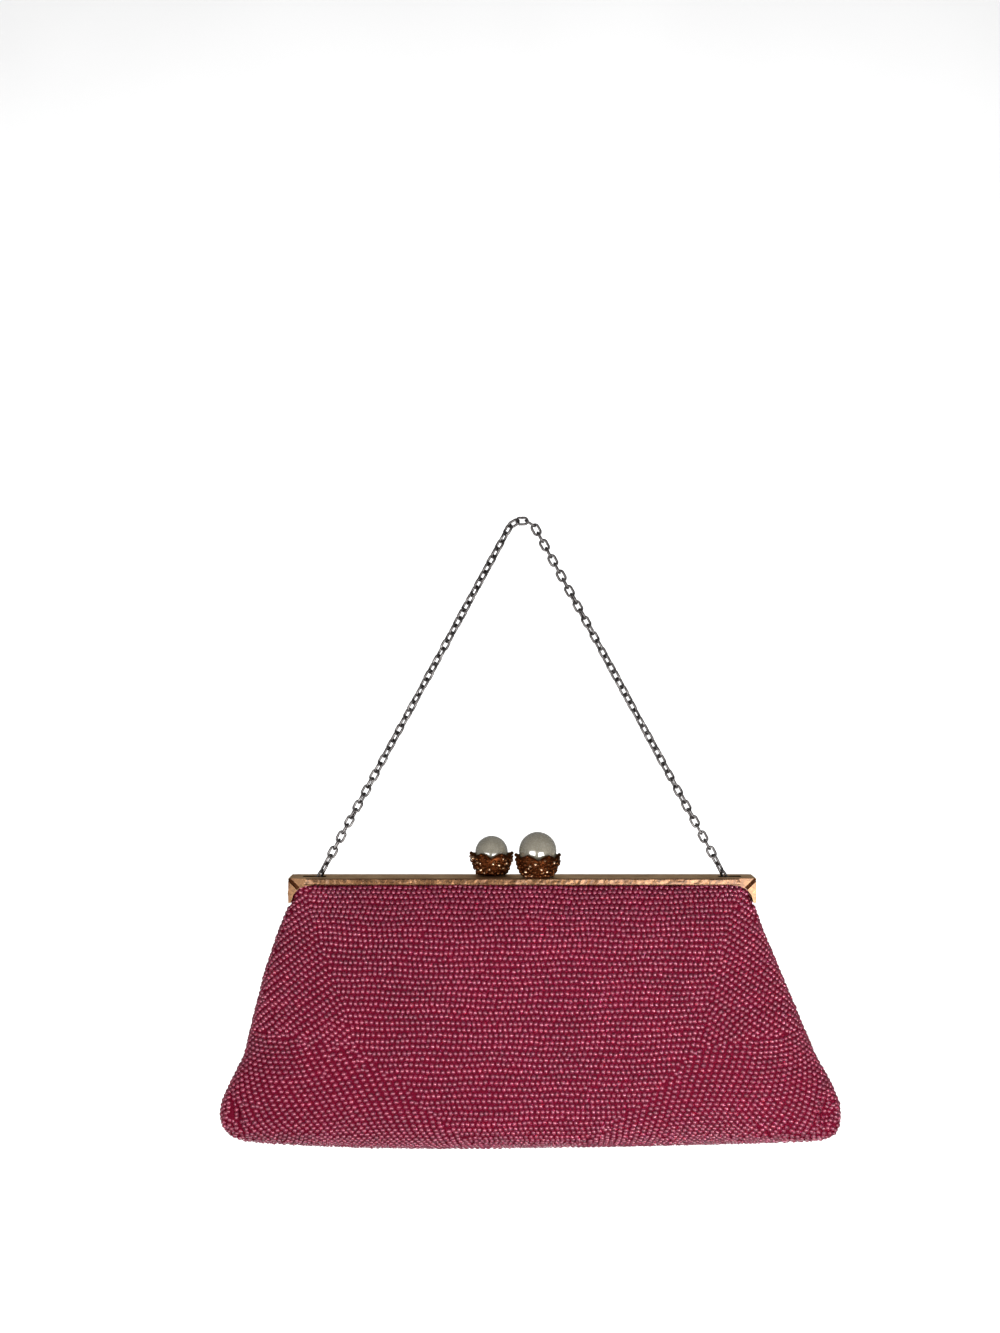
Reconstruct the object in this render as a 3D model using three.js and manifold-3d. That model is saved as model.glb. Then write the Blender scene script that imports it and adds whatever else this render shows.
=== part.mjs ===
// Beaded clutch as it hangs: a soft pouch on a hinged purse frame with a kiss-lock clasp and a fine chain.
// Millimetres, +Z up. The front faces -Y, and the origin is where the top of the chain is held.

import * as THREE from 'three';
import { LoftGeometry } from 'three/addons/geometries/LoftGeometry.js';
import { mergeVertices } from 'three/addons/utils/BufferGeometryUtils.js';
import Module from 'manifold-3d';

// Clearance between a piece and the piece it is seated on
const SEAT_GAP = 0.3;

// Purse frame: two halves bent from sheet, each with a lip, a top plate and two short legs
const FRAME_TOP = -123.6;
const FRAME_HALF_WIDTH = 80.6;
const FRAME_HALF_DEPTH = 6;
const SHEET = 0.9;
const LIP_HEIGHT = 2.3;
const LEG_LENGTH = 8.4;
const LEG_TIP_WIDTH = 0.9;
const CORNER_WEB_LENGTH = 8.4;
const CORNER_WEB_INSET = 1.8;
const MITRE_SLIT_WIDTH = 1.3;
const MITRE_SLIT_LENGTH = 4.6;

// Hinge at the leg ends: the front ear lies outside the back ear, with a rivet through both
const EAR_RADIUS = 2.4;
const HINGE_Z = FRAME_TOP - LEG_LENGTH + EAR_RADIUS;
const BACK_EAR_X = FRAME_HALF_WIDTH - 1.5 * SHEET - SEAT_GAP;
const RIVET_RADIUS = 0.9;
const RIVET_HEAD_RADIUS = 1.6;
const RIVET_HEAD_HEIGHT = 0.7;

// Chain slots in the top plates, and the wire lugs under them that the end links hold on to
const LUG_X = 72.2;
const LUG_Z = FRAME_TOP - 3.2;
const LUG_WIRE_RADIUS = 0.4;
const LUG_HEAD_RADIUS = 0.75;
const LUG_HEAD_LENGTH = 0.6;
const LUG_POST_WIDTH = 1.4;
const LUG_POST_DEPTH = 0.7;
const SLOT_LENGTH = 8;
const SLOT_HALF_WIDTH = 1.75;

// Chain, as the plain tube that its links fill: two straight strands and a bend over the top
const CHAIN_DIAMETER = 3;
const CHAIN_SIDES = 8;
const CHAIN_STEPS = 80;
const TOP_BEND_RADIUS = 5.5;

// Kiss-lock clasp: the left cup is riveted to the back half of the frame, the right one to the front half
const CLASP_X = -2.6;
const CLASP_SPACING = 16;
const CLASP_OFFSET_Y = 2.6;
const CUP_RIM_RADIUS = 7.5;
const CUP_RIM_HEIGHT = 7.2;
const CUP_SIDES = 24;
const CUP_PETALS = 6;
const PETAL_RISE = 0.6;
const GRANULE_RADIUS = 0.65;
// Rings of cast granules on the outside of a cup, turned by a share of a petal
const GRANULE_RINGS = [
  { radius: 6.25, height: 3, turn: 0 },
  { radius: 6.95, height: 5.1, turn: 0.5 },
];
const CLASPS = [
  { side: 'left', direction: -1, pearlRadius: 5.7, pearlHeight: 8.1 },
  { side: 'right', direction: 1, pearlRadius: 6.5, pearlHeight: 9.2 },
];
// Outside of a cup from its foot to just under the rim
const CUP_WALL = [
  { radius: 4.4, height: SEAT_GAP },
  { radius: 5.2, height: 1 },
  { radius: 6.2, height: 3 },
  { radius: 7, height: 5.4 },
];
const PEARL_SEAT_ANGLES = [54, 30, 0];

// Pouch: outer sections from the mouth down. Squareness 2 is an ellipse, and sway leans it to the right.
const POUCH_WALL = 2;
const POUCH_SIDES = 40;
const POUCH_SAG = 1.2;
const SAG_LEAN = 1.1;
const POUCH_SECTIONS = [
  { drop: 1.2, halfWidth: 78, halfDepth: 4.8, squareness: 12, sway: 0 },
  { drop: 2.8, halfWidth: 78, halfDepth: 4.8, squareness: 12, sway: 0 },
  { drop: 5.2, halfWidth: 78, halfDepth: 7.4, squareness: 5, sway: 0 },
  { drop: 8.3, halfWidth: 78.2, halfDepth: 10, squareness: 3.6, sway: 0 },
  { drop: 8.8, halfWidth: 79.8, halfDepth: 10.4, squareness: 3.5, sway: 0 },
  { drop: 10.6, halfWidth: 81.9, halfDepth: 11.6, squareness: 3, sway: 0 },
  { drop: 18.7, halfWidth: 84.8, halfDepth: 14.6, squareness: 2.6, sway: -0.3 },
  { drop: 33, halfWidth: 90, halfDepth: 17, squareness: 2.5, sway: 0.3 },
  { drop: 52, halfWidth: 96.3, halfDepth: 18.8, squareness: 2.5, sway: 1.8 },
  { drop: 62, halfWidth: 99.6, halfDepth: 19.2, squareness: 2.5, sway: 2.7 },
  { drop: 71.6, halfWidth: 104.8, halfDepth: 19, squareness: 2.5, sway: 3 },
  { drop: 78, halfWidth: 107.6, halfDepth: 18.4, squareness: 2.5, sway: 2.9 },
  { drop: 83, halfWidth: 108.2, halfDepth: 17, squareness: 2.5, sway: 2.8 },
  { drop: 87, halfWidth: 107.6, halfDepth: 14.4, squareness: 2.5, sway: 3.1 },
  { drop: 90, halfWidth: 105.5, halfDepth: 10.6, squareness: 2.5, sway: 3.4 },
  { drop: 91.6, halfWidth: 102.6, halfDepth: 6.8, squareness: 2.5, sway: 3.4 },
  { drop: 92.2, halfWidth: 99.4, halfDepth: 3.4, squareness: 2.5, sway: 3.2 },
];
const SIDE_SLIT_HALF_DEPTH = 2.7;
const SIDE_SLIT_X = 73;

const FINISHES = {
  beads: { color: 0x8a2440, roughness: 0.35, metalness: 0 },
  gilt: { color: 0xb08a4e, roughness: 0.35, metalness: 1 },
  antiqueGilt: { color: 0x6b4526, roughness: 0.4, metalness: 1 },
  pearl: { color: 0xcfc7ba, roughness: 0.25, metalness: 0 },
  gunmetal: { color: 0x5b5752, roughness: 0.4, metalness: 1 },
};

const wasm = await Module();
wasm.setup();

function solidOf(geometry) {
  const bare = new THREE.BufferGeometry();
  bare.setAttribute('position', geometry.attributes.position);
  bare.setIndex(geometry.index);
  const welded = mergeVertices(bare, 1e-4);
  const vertProperties = new Float32Array(welded.attributes.position.array);
  const triVerts = new Uint32Array(welded.index.array);
  return new wasm.Manifold(new wasm.Mesh({ numProp: 3, vertProperties, triVerts }));
}

function geometryOf(solid) {
  const { vertProperties, triVerts } = solid.getMesh();
  const geometry = new THREE.BufferGeometry();
  geometry.setAttribute('position', new THREE.BufferAttribute(vertProperties, 3));
  geometry.setIndex(new THREE.BufferAttribute(triVerts, 1));
  geometry.computeVertexNormals();
  return geometry;
}

function fuse(solids) {
  return solids.reduce((whole, next) => whole.add(next));
}

function block([x0, x1], [y0, y1], [z0, z1]) {
  const box = new THREE.BoxGeometry(Math.abs(x1 - x0), Math.abs(y1 - y0), Math.abs(z1 - z0));
  return solidOf(box.translate((x0 + x1) / 2, (y0 + y1) / 2, (z0 + z1) / 2));
}

// A round bar along X or Y, between two places on that axis
function bar(axis, from, to, radius, [x, y, z], sides = 12) {
  const cylinder = new THREE.CylinderGeometry(radius, radius, Math.abs(to - from), sides);
  if (axis === 'x') {
    cylinder.rotateZ(Math.PI / 2);
  }
  const middle = (from + to) / 2;
  return solidOf(cylinder.translate(axis === 'x' ? middle : x, axis === 'y' ? middle : y, z));
}

// Front face of a frame half: a narrow lip with a curved web at each corner that runs down into the leg
function lipSolid(toward) {
  const w = FRAME_HALF_WIDTH;
  const web = w - CORNER_WEB_LENGTH;
  const lip = new THREE.Shape();
  lip.moveTo(-w, 0);
  lip.lineTo(-w, -LEG_LENGTH);
  lip.lineTo(-w + LEG_TIP_WIDTH, -LEG_LENGTH);
  lip.quadraticCurveTo(-w + CORNER_WEB_INSET, -LIP_HEIGHT, -web, -LIP_HEIGHT);
  lip.lineTo(web, -LIP_HEIGHT);
  lip.quadraticCurveTo(w - CORNER_WEB_INSET, -LIP_HEIGHT, w - LEG_TIP_WIDTH, -LEG_LENGTH);
  lip.lineTo(w, -LEG_LENGTH);
  lip.lineTo(w, 0);
  const plate = new THREE.ExtrudeGeometry(lip, { depth: SHEET, bevelEnabled: false, curveSegments: 4 });
  const backOfPlate = toward * FRAME_HALF_DEPTH + (toward < 0 ? SHEET : 0);
  return solidOf(plate.rotateX(Math.PI / 2).translate(0, backOfPlate, FRAME_TOP));
}

// The slit where the lip was mitred, from the outer corner inwards
function mitreSlit(toward, end) {
  const slit = new THREE.BoxGeometry(MITRE_SLIT_LENGTH, SHEET, MITRE_SLIT_WIDTH);
  slit.rotateY(-end * Math.PI / 4);
  const inset = MITRE_SLIT_LENGTH * 0.4;
  return solidOf(slit.translate(
    end * (FRAME_HALF_WIDTH - inset), toward * FRAME_HALF_DEPTH, FRAME_TOP - inset));
}

// Sheet metal of one half, without its hinge ears; toward is -1 for the front and 1 for the back
function bentHalf(toward) {
  const w = FRAME_HALF_WIDTH;
  const depth = [toward * SEAT_GAP / 2, toward * FRAME_HALF_DEPTH];
  const topPlate = block([-w, w], depth, [FRAME_TOP - SHEET, FRAME_TOP]);
  const legs = [-1, 1].map((end) => block(
    [end * (w - SHEET), end * w], depth, [FRAME_TOP - LEG_LENGTH, FRAME_TOP]));
  let half = fuse([lipSolid(toward), topPlate, ...legs]);
  for (const end of [-1, 1]) {
    const slot = [end * LUG_X - SLOT_LENGTH / 2, end * LUG_X + SLOT_LENGTH / 2];
    half = half.subtract(block(slot, [-SLOT_HALF_WIDTH, SLOT_HALF_WIDTH], [FRAME_TOP - 2 * SHEET, FRAME_TOP + 1]));
    half = half.subtract(mitreSlit(toward, end));
  }
  return half;
}

function rivetHole(end) {
  const hinge = [0, 0, HINGE_Z];
  return bar('x', end * (BACK_EAR_X - SHEET), end * (FRAME_HALF_WIDTH + SHEET), RIVET_RADIUS + SEAT_GAP, hinge);
}

function frameFront() {
  const outside = FRAME_HALF_WIDTH;
  const hinge = [0, 0, HINGE_Z];
  const ears = [-1, 1].map((end) => bar('x', end * (outside - SHEET), end * outside, EAR_RADIUS, hinge));
  const half = fuse([bentHalf(-1), ...ears]);
  return half.subtract(rivetHole(-1)).subtract(rivetHole(1));
}

// The back ears are set inwards by a joggle, so that the front ears pass outside them
function frameBack() {
  const outside = FRAME_HALF_WIDTH;
  const hinge = [0, 0, HINGE_Z];
  const earHeight = [HINGE_Z - EAR_RADIUS, HINGE_Z + EAR_RADIUS];
  const clear = EAR_RADIUS + SEAT_GAP;
  let half = bentHalf(1);
  for (const end of [-1, 1]) {
    const earX = [end * (BACK_EAR_X - SHEET / 2), end * (BACK_EAR_X + SHEET / 2)];
    half = half.subtract(bar('x', end * (outside - 2 * SHEET), end * (outside + SHEET), clear, hinge));
    const ear = bar('x', earX[0], earX[1], EAR_RADIUS, hinge);
    const arm = block(earX, [0, FRAME_HALF_DEPTH], earHeight);
    const joggle = block([earX[0], end * outside], [clear, FRAME_HALF_DEPTH], earHeight);
    half = fuse([half, ear, arm, joggle]).subtract(rivetHole(end));
    half = fuse([half, ...lugSolids(end)]);
  }
  return half;
}

// A bent wire lug under the slot: a post from the back top plate and a headed wire that points forwards
function lugSolids(end) {
  const x = end * LUG_X;
  const postX = [x - LUG_POST_WIDTH / 2, x + LUG_POST_WIDTH / 2];
  const postY = [SLOT_HALF_WIDTH, SLOT_HALF_WIDTH + LUG_POST_DEPTH];
  const post = block(postX, postY, [LUG_Z - LUG_WIRE_RADIUS, FRAME_TOP - SHEET / 2]);
  const headY = -SLOT_HALF_WIDTH + LUG_HEAD_LENGTH / 2;
  const wire = bar('y', postY[1], headY - LUG_HEAD_LENGTH / 2, LUG_WIRE_RADIUS, [x, 0, LUG_Z], 8);
  const head = bar('y', headY, headY - LUG_HEAD_LENGTH, LUG_HEAD_RADIUS, [x, 0, LUG_Z], 8);
  return [post, wire, head];
}

// A rivet turned about its own axis, with a flat inner head and a domed outer one
function hingeRivet(end) {
  const grip = 2 * SHEET + 3 * SEAT_GAP;
  const outerHead = RIVET_HEAD_HEIGHT + grip;
  const profile = [
    [0, 0], [RIVET_HEAD_RADIUS, 0], [RIVET_HEAD_RADIUS, RIVET_HEAD_HEIGHT],
    [RIVET_RADIUS, RIVET_HEAD_HEIGHT], [RIVET_RADIUS, outerHead], [RIVET_HEAD_RADIUS, outerHead],
    [0.7 * RIVET_HEAD_RADIUS, outerHead + 0.7 * RIVET_HEAD_HEIGHT], [0, outerHead + RIVET_HEAD_HEIGHT],
  ].map(([radius, along]) => new THREE.Vector2(radius, along));
  const rivet = new THREE.LatheGeometry(profile, 10).rotateZ(-end * Math.PI / 2);
  const innerEnd = BACK_EAR_X - SHEET / 2 - SEAT_GAP - RIVET_HEAD_HEIGHT;
  return rivet.translate(end * innerEnd, 0, HINGE_Z);
}

// Centre line of the chain, from just above the left lug over the top to just above the right lug
function chainLine() {
  const lug = new THREE.Vector2(LUG_X, LUG_Z);
  const bend = new THREE.Vector2(0, -TOP_BEND_RADIUS);
  const toLug = lug.clone().sub(bend);
  const leave = toLug.angle() + Math.acos(TOP_BEND_RADIUS / toLug.length());
  const tangent = new THREE.Vector2(Math.cos(leave), Math.sin(leave)).multiplyScalar(TOP_BEND_RADIUS).add(bend);
  const end = lug.clone().add(tangent.clone().sub(lug).setLength(LUG_WIRE_RADIUS + SEAT_GAP));
  const line = new THREE.Path();
  line.moveTo(-end.x, end.y);
  line.lineTo(-tangent.x, tangent.y);
  line.absarc(bend.x, bend.y, TOP_BEND_RADIUS, Math.PI - leave, leave, true);
  line.lineTo(end.x, end.y);
  return line;
}

function chainGeometry() {
  const places = chainLine().getSpacedPoints(CHAIN_STEPS).map(({ x, y }) => new THREE.Vector3(x, 0, y));
  const corners = [];
  for (let i = 0; i < CHAIN_SIDES; i += 1) {
    const angle = 2 * Math.PI * (i + 0.5) / CHAIN_SIDES;
    corners.push(new THREE.Vector2(Math.cos(angle), Math.sin(angle)).multiplyScalar(CHAIN_DIAMETER / 2));
  }
  const extrudePath = new THREE.CatmullRomCurve3(places);
  return new THREE.ExtrudeGeometry(new THREE.Shape(corners), { steps: CHAIN_STEPS, extrudePath });
}

// A petal cup, turned about its axis, whose rim rises to a point at each petal
function cupGeometry({ pearlRadius, pearlHeight }) {
  const seat = pearlRadius + SEAT_GAP;
  const rimInside = Math.sqrt(seat ** 2 - (pearlHeight - CUP_RIM_HEIGHT) ** 2);
  const profile = [new THREE.Vector2(0, SEAT_GAP)];
  CUP_WALL.forEach(({ radius, height }) => profile.push(new THREE.Vector2(radius, height)));
  profile.push(new THREE.Vector2(CUP_RIM_RADIUS, CUP_RIM_HEIGHT));
  profile.push(new THREE.Vector2(rimInside, CUP_RIM_HEIGHT));
  for (const degrees of PEARL_SEAT_ANGLES) {
    const angle = THREE.MathUtils.degToRad(degrees);
    profile.push(new THREE.Vector2(seat * Math.sin(angle), pearlHeight - seat * Math.cos(angle)));
  }
  const cup = new THREE.LatheGeometry(profile, CUP_SIDES).rotateX(Math.PI / 2);
  const place = cup.attributes.position;
  for (let i = 0; i < place.count; i += 1) {
    if (place.getZ(i) > CUP_RIM_HEIGHT - SEAT_GAP) {
      const round = Math.atan2(place.getY(i), place.getX(i));
      place.setZ(i, place.getZ(i) + PETAL_RISE * Math.cos(CUP_PETALS * round));
    }
  }
  return cup;
}

function granules() {
  const grains = [];
  for (const { radius, height, turn } of GRANULE_RINGS) {
    for (let i = 0; i < CUP_PETALS; i += 1) {
      const round = 2 * Math.PI * (i + turn) / CUP_PETALS;
      const grain = new THREE.SphereGeometry(GRANULE_RADIUS, 8, 6);
      grains.push(solidOf(grain.translate(radius * Math.cos(round), radius * Math.sin(round), height)));
    }
  }
  return grains;
}

// Points of one pouch section, anticlockwise from above; the bottom hangs lowest a little left of its middle
function sectionPoints({ drop, halfWidth, halfDepth, squareness, sway }) {
  const lowest = POUCH_SECTIONS.at(-1).drop;
  const points = [];
  for (let i = 0; i < POUCH_SIDES; i += 1) {
    const angle = 2 * Math.PI * i / POUCH_SIDES;
    const x = Math.sign(Math.cos(angle)) * Math.abs(Math.cos(angle)) ** (2 / squareness);
    const y = Math.sign(Math.sin(angle)) * Math.abs(Math.sin(angle)) ** (2 / squareness);
    const sag = POUCH_SAG * (1 - x * x) * (1 - SAG_LEAN * x) * (drop / lowest) ** 4;
    points.push(new THREE.Vector3(sway + halfWidth * x, halfDepth * y, FRAME_TOP - drop - sag));
  }
  return points;
}

// A section of the inner face, one wall thickness inside the outer section along its slope
function innerSection(i) {
  const section = POUCH_SECTIONS[i];
  const above = POUCH_SECTIONS[Math.max(0, i - 1)];
  const below = POUCH_SECTIONS[i + 1];
  const slope = i === 0 ? 0 : (below.halfDepth - above.halfDepth) / (below.drop - above.drop);
  const inwards = POUCH_WALL / Math.hypot(1, slope);
  return {
    ...section,
    drop: section.drop + slope * inwards,
    halfWidth: section.halfWidth - POUCH_WALL,
    halfDepth: section.halfDepth - inwards,
  };
}

function loftSolid(sections) {
  return solidOf(new LoftGeometry(sections.map(sectionPoints), { capStart: true, capEnd: true }));
}

function pouchSolid() {
  const inside = POUCH_SECTIONS.slice(0, -1).map((section, i) => innerSection(i));
  const mouth = { ...inside[0], drop: 0 };
  const hollow = loftSolid([mouth, ...inside].reverse());
  let pouch = loftSolid([...POUCH_SECTIONS].reverse()).subtract(hollow);
  const slitHeight = [FRAME_TOP - LEG_LENGTH - SEAT_GAP, FRAME_TOP];
  for (const end of [-1, 1]) {
    const slitX = [end * SIDE_SLIT_X, end * FRAME_HALF_WIDTH];
    pouch = pouch.subtract(block(slitX, [-SIDE_SLIT_HALF_DEPTH, SIDE_SLIT_HALF_DEPTH], slitHeight));
  }
  return pouch;
}

const clutch = new THREE.Group();

function addPiece(name, geometry, finish) {
  const piece = new THREE.Mesh(geometry, new THREE.MeshStandardMaterial(FINISHES[finish]));
  piece.name = name;
  clutch.add(piece);
  return piece;
}

addPiece('pouch', geometryOf(pouchSolid()), 'beads');
addPiece('frame_front', geometryOf(frameFront()), 'gilt');
addPiece('frame_back', geometryOf(frameBack()), 'gilt');
addPiece('hinge_rivet_left', hingeRivet(-1), 'gilt');
addPiece('hinge_rivet_right', hingeRivet(1), 'gilt');

for (const clasp of CLASPS) {
  const x = CLASP_X + clasp.direction * CLASP_SPACING / 2;
  const y = -clasp.direction * CLASP_OFFSET_Y;
  const cup = fuse([solidOf(cupGeometry(clasp)), ...granules()]);
  addPiece(`clasp_cup_${clasp.side}`, geometryOf(cup), 'antiqueGilt').position.set(x, y, FRAME_TOP);
  const pearl = addPiece(`pearl_${clasp.side}`, new THREE.SphereGeometry(clasp.pearlRadius, 16, 10), 'pearl');
  pearl.rotation.x = Math.PI / 2;
  pearl.position.set(x, y, FRAME_TOP + clasp.pearlHeight);
}

addPiece('chain', geometryOf(solidOf(chainGeometry())), 'gunmetal');

export default clutch;
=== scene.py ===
import math

import bmesh
import bpy
import numpy as np
from mathutils import Matrix, Vector, noise
from mathutils.kdtree import KDTree


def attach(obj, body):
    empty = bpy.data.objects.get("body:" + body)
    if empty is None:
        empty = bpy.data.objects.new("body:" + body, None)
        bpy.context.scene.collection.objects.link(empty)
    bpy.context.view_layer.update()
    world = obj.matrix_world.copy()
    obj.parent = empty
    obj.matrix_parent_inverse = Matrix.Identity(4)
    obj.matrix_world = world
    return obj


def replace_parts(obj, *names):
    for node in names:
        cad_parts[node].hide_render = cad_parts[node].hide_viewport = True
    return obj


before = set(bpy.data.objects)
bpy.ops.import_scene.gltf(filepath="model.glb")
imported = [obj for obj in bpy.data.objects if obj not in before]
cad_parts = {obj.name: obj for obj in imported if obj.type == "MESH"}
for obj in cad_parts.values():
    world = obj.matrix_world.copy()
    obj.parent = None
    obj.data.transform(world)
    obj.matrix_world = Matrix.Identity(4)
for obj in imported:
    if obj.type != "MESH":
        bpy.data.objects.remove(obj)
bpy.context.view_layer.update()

# Beaded clutch, hanging by its chain. Sizes in the tables are millimetres, and the scene is in metres.
# The front faces -Y, +Z is up, and the origin is where the top of the chain is held.
MM = 0.001
# One generator for the beads and the chain, and another for the cups
draw = np.random.default_rng(11)
cup_draw = np.random.default_rng(5)

# Camera: level, a little left of the middle of the bag, and set so that 463.9 mm fill the picture's height
CAMERA_PLACE = (-7.66, -550.0, -50.6)
PICTURE_HEIGHT = 463.9
SENSOR = 36.0

# Purse frame and clasp
FRAME_TOP = -123.6
FRAME_HALF_DEPTH = 6.0
LIP_HEIGHT = 2.3
LIP_BAND_HALF_LENGTH = 76.6
CLASP_X = -2.6
CLASP_SPACING = 16.0
CLASP_OFFSET_Y = 2.6
CLASPS = (
    # side, direction, pearl radius, pearl height, cup rim radius
    ("left", -1, 5.7, 8.1, 7.2),
    ("right", 1, 6.5, 9.2, 7.55),
)
CUP_PETALS = 6

# Chain
LUG_X, LUG_Z = 72.2, FRAME_TOP - 3.2
LUG_WIRE_RADIUS = 0.4
TOP_BEND_RADIUS = 5.5
LINK_COUNT = 97
LINK_LENGTH, LINK_WIDTH, LINK_WIRE = 4.75, 3.25, 0.9
LINK_WIRE_SIDES, LINK_STEPS = 8, 16
STRAND_TWIST = math.radians(45)
# Places up each strand, from its lug at 0 to the top at 1, with the share of the twist at each of them
LEFT_TWIST = ((0.1, 0.5), (0, 1))
RIGHT_TWIST = ((0.15, 0.4, 0.55, 0.85), (0, 1, 1, 0))
LINK_WOBBLE = 0.09
# A few links near either lug turn by angles of their own
FOOT_LINKS = ((1, 0.5), (2, 1.05), (3, 0.45))

# Outer face of the pouch from the mouth down to the bottom seam
POUCH_SAG = 1.2
SAG_LEAN = 1.1
DROP, HALF_WIDTH, HALF_DEPTH, SWAY = 0, 1, 2, 4
POUCH_ROWS = np.array((
    # drop, half width, half depth, squareness, sway
    (1.2, 78.8, 4.8, 12, 0),
    (2.3, 78.8, 5.2, 11, 0),
    (3.4, 78.9, 6.8, 8, 0),
    (5.2, 79.2, 8.2, 5, 0),
    (8.3, 79.6, 10, 3.6, 0),
    (8.8, 80.1, 10.4, 3.5, 0),
    (10.6, 81.5, 11.6, 3, -0.2),
    (18.7, 84.6, 14.6, 2.6, -0.4),
    (33, 90, 17, 2.5, 0.2),
    (52, 96.3, 18.8, 2.5, 1.8),
    (62, 99.6, 19.2, 2.5, 2.7),
    (71.6, 104.8, 19, 2.5, 3),
    (78, 107.6, 18.4, 2.5, 2.9),
    (83, 108.2, 17, 2.5, 2.8),
    (87, 107.6, 14.4, 2.5, 3.1),
    (90, 105.5, 10.6, 2.5, 3.4),
    (91.6, 102.6, 6.8, 2.5, 3.4),
    (92.2, 99.4, 3.4, 2.5, 3.2),
    (92.4, 97.4, 0, 2.5, 3.2),
))
# Two folds in the left lower corner of the front, which hide a few beads, and a hollow in the right one
DENTS = (
    # across, drop, half width, half height, depth
    (-99.9, 79.4, 0.88, 4.0, 2.0),
    (-97.2, 81.8, 0.88, 4.0, 2.0),
    (104.6, 81.0, 2.8, 4.2, 3.8),
)
FOLDS = 2

# Beads: pitch along a row and between rows, size along, across and outwards, and depth under the surface
BEAD_PITCH = 1.73
ROW_PITCH = 1.98
BEAD_LENGTH = 1.68
BEAD_DIAMETER = 2.2
BEAD_HEIGHT = 1.72
BEAD_DEPTH = 0.8
BEADS_APART = 1.36
SEAM_BEAD_STRETCH = 1.15
# How unevenly they are sewn: place, depth, lean and size of each bead, and start and pitch of each row
UNEVENNESS = 0.09
DEPTH_UNEVENNESS = 0.05
LEAN_UNEVENNESS = 0.11
SIZE_UNEVENNESS = 0.045
ROW_DRIFT = 0.16
PITCH_WANDER = 0.035
CORNER_WANDER = 0.03
ROW_WAVES = (
    # height, and radians for each millimetre across and down
    (0.2, 0.21, 0.17),
    (0.25, 0.071, -0.11),
)
# Room left at the edges of a face, and above its first row
EDGE_ROOM = 0.2
FIRST_ROW_ROOM = 0.3
# Single beads for holes, which are looked for on a fine uneven grid
HOLE_SIZE = 1.4
FILLER_SIZE = 0.86
FILLER_DEPTH = 0.15
HOLE_GRID_ACROSS = (-125, 125)
HOLE_GRID_BELOW = (-60, 50)
HOLE_GRID_STEP = 0.7
HOLE_GRID_JITTER = 0.3
# Tones of the glass: long lighter and darker bands along the rows, which are painted sheen standing in for
# rows that catch the highlights better than others, and a spread from bead to bead
SHEEN_STREAK_LENGTH, SHEEN_STREAK_HEIGHT = 22, 2.6
SHEEN_STREAK_SHARE = 0.45
TONE_SPREAD = 0.19
# The rows run round a line between two turning points, with a mitre wherever they change direction
TURNING_POINT_X = 58.0
TURNING_POINT_DROP = 55.1
SIDE_ROWS_LENGTH = 70.0
UPPER_MITRE = math.radians(18)
SIDE_MITRE = math.radians(5)
LOWER_MITRE = math.radians(41)
FAN_CENTRE = np.array((46.7, 118.0))
# Corner rows start from a line across the corner, and stand up by a degree a millimetre past another line
CORNER_LINE_ACROSS = (-56.0, 48.0)
CORNER_LINE_BELOW, CORNER_LINE_SLOPE = 19.0, 0.25
CORNER_ROW_BEADS = 40
UPRIGHT_LINE_ACROSS, UPRIGHT_LINE_SLOPE = -6.4, 0.65
# Lean and row pitch of the left and the right corner, which were not sewn quite alike
LEFT_CORNER = (math.radians(4), 2.2)
RIGHT_CORNER = (math.radians(-3), 2.05)
FIRST_ROW_DROP = 2.4
SEAM_TOP_DROP = 9.4
CLOTH_DEPTH = 0.7
CLOTH_THICKNESS = 0.8
FACES = ((-1, "front"), (1, "back"))


# Small helpers for meshes

def piece_from(shape, name, finish):
    """A finished piece from a bmesh: it rides on the one body and takes its finish from a slot."""
    mesh = bpy.data.meshes.new(name)
    shape.to_mesh(mesh)
    shape.free()
    return piece_from_mesh(mesh, name, finish)


def piece_from_mesh(mesh, name, finish):
    piece = bpy.data.objects.new(name, mesh)
    bpy.context.scene.collection.objects.link(piece)
    mesh.materials.append(finish)
    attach(piece, "root")
    return piece


def soften(shape):
    for face in shape.faces:
        face.smooth = True


def turned(profile, steps, axis=(0, 0, 1)):
    """A shape spun about an axis through the origin from (along, radius) places on its outline."""
    axis = Vector(axis)
    out = axis.orthogonal().normalized()
    shape = bmesh.new()
    verts = [shape.verts.new(axis * along + out * radius) for along, radius in profile]
    edges = [shape.edges.new(pair) for pair in zip(verts, verts[1:])]
    bmesh.ops.spin(shape, geom=verts + edges, axis=axis, cent=(0, 0, 0), angle=math.tau, steps=steps,
                   use_merge=True)
    bmesh.ops.remove_doubles(shape, verts=shape.verts, dist=1e-6)
    bmesh.ops.recalc_face_normals(shape, faces=shape.faces)
    soften(shape)
    return shape


def verts_in(geometry):
    return [item for item in geometry if isinstance(item, bmesh.types.BMVert)]


def edges_in(geometry):
    return [item for item in geometry if isinstance(item, bmesh.types.BMEdge)]


def length_along(line):
    """How far along a line each of its places lies."""
    return np.concatenate([[0], np.cumsum(np.linalg.norm(np.diff(line, axis=0), axis=1))])


def tree_of(places):
    tree = KDTree(len(places))
    for i, place in enumerate(places):
        tree.insert(place, i)
    tree.balance()
    return tree


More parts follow.
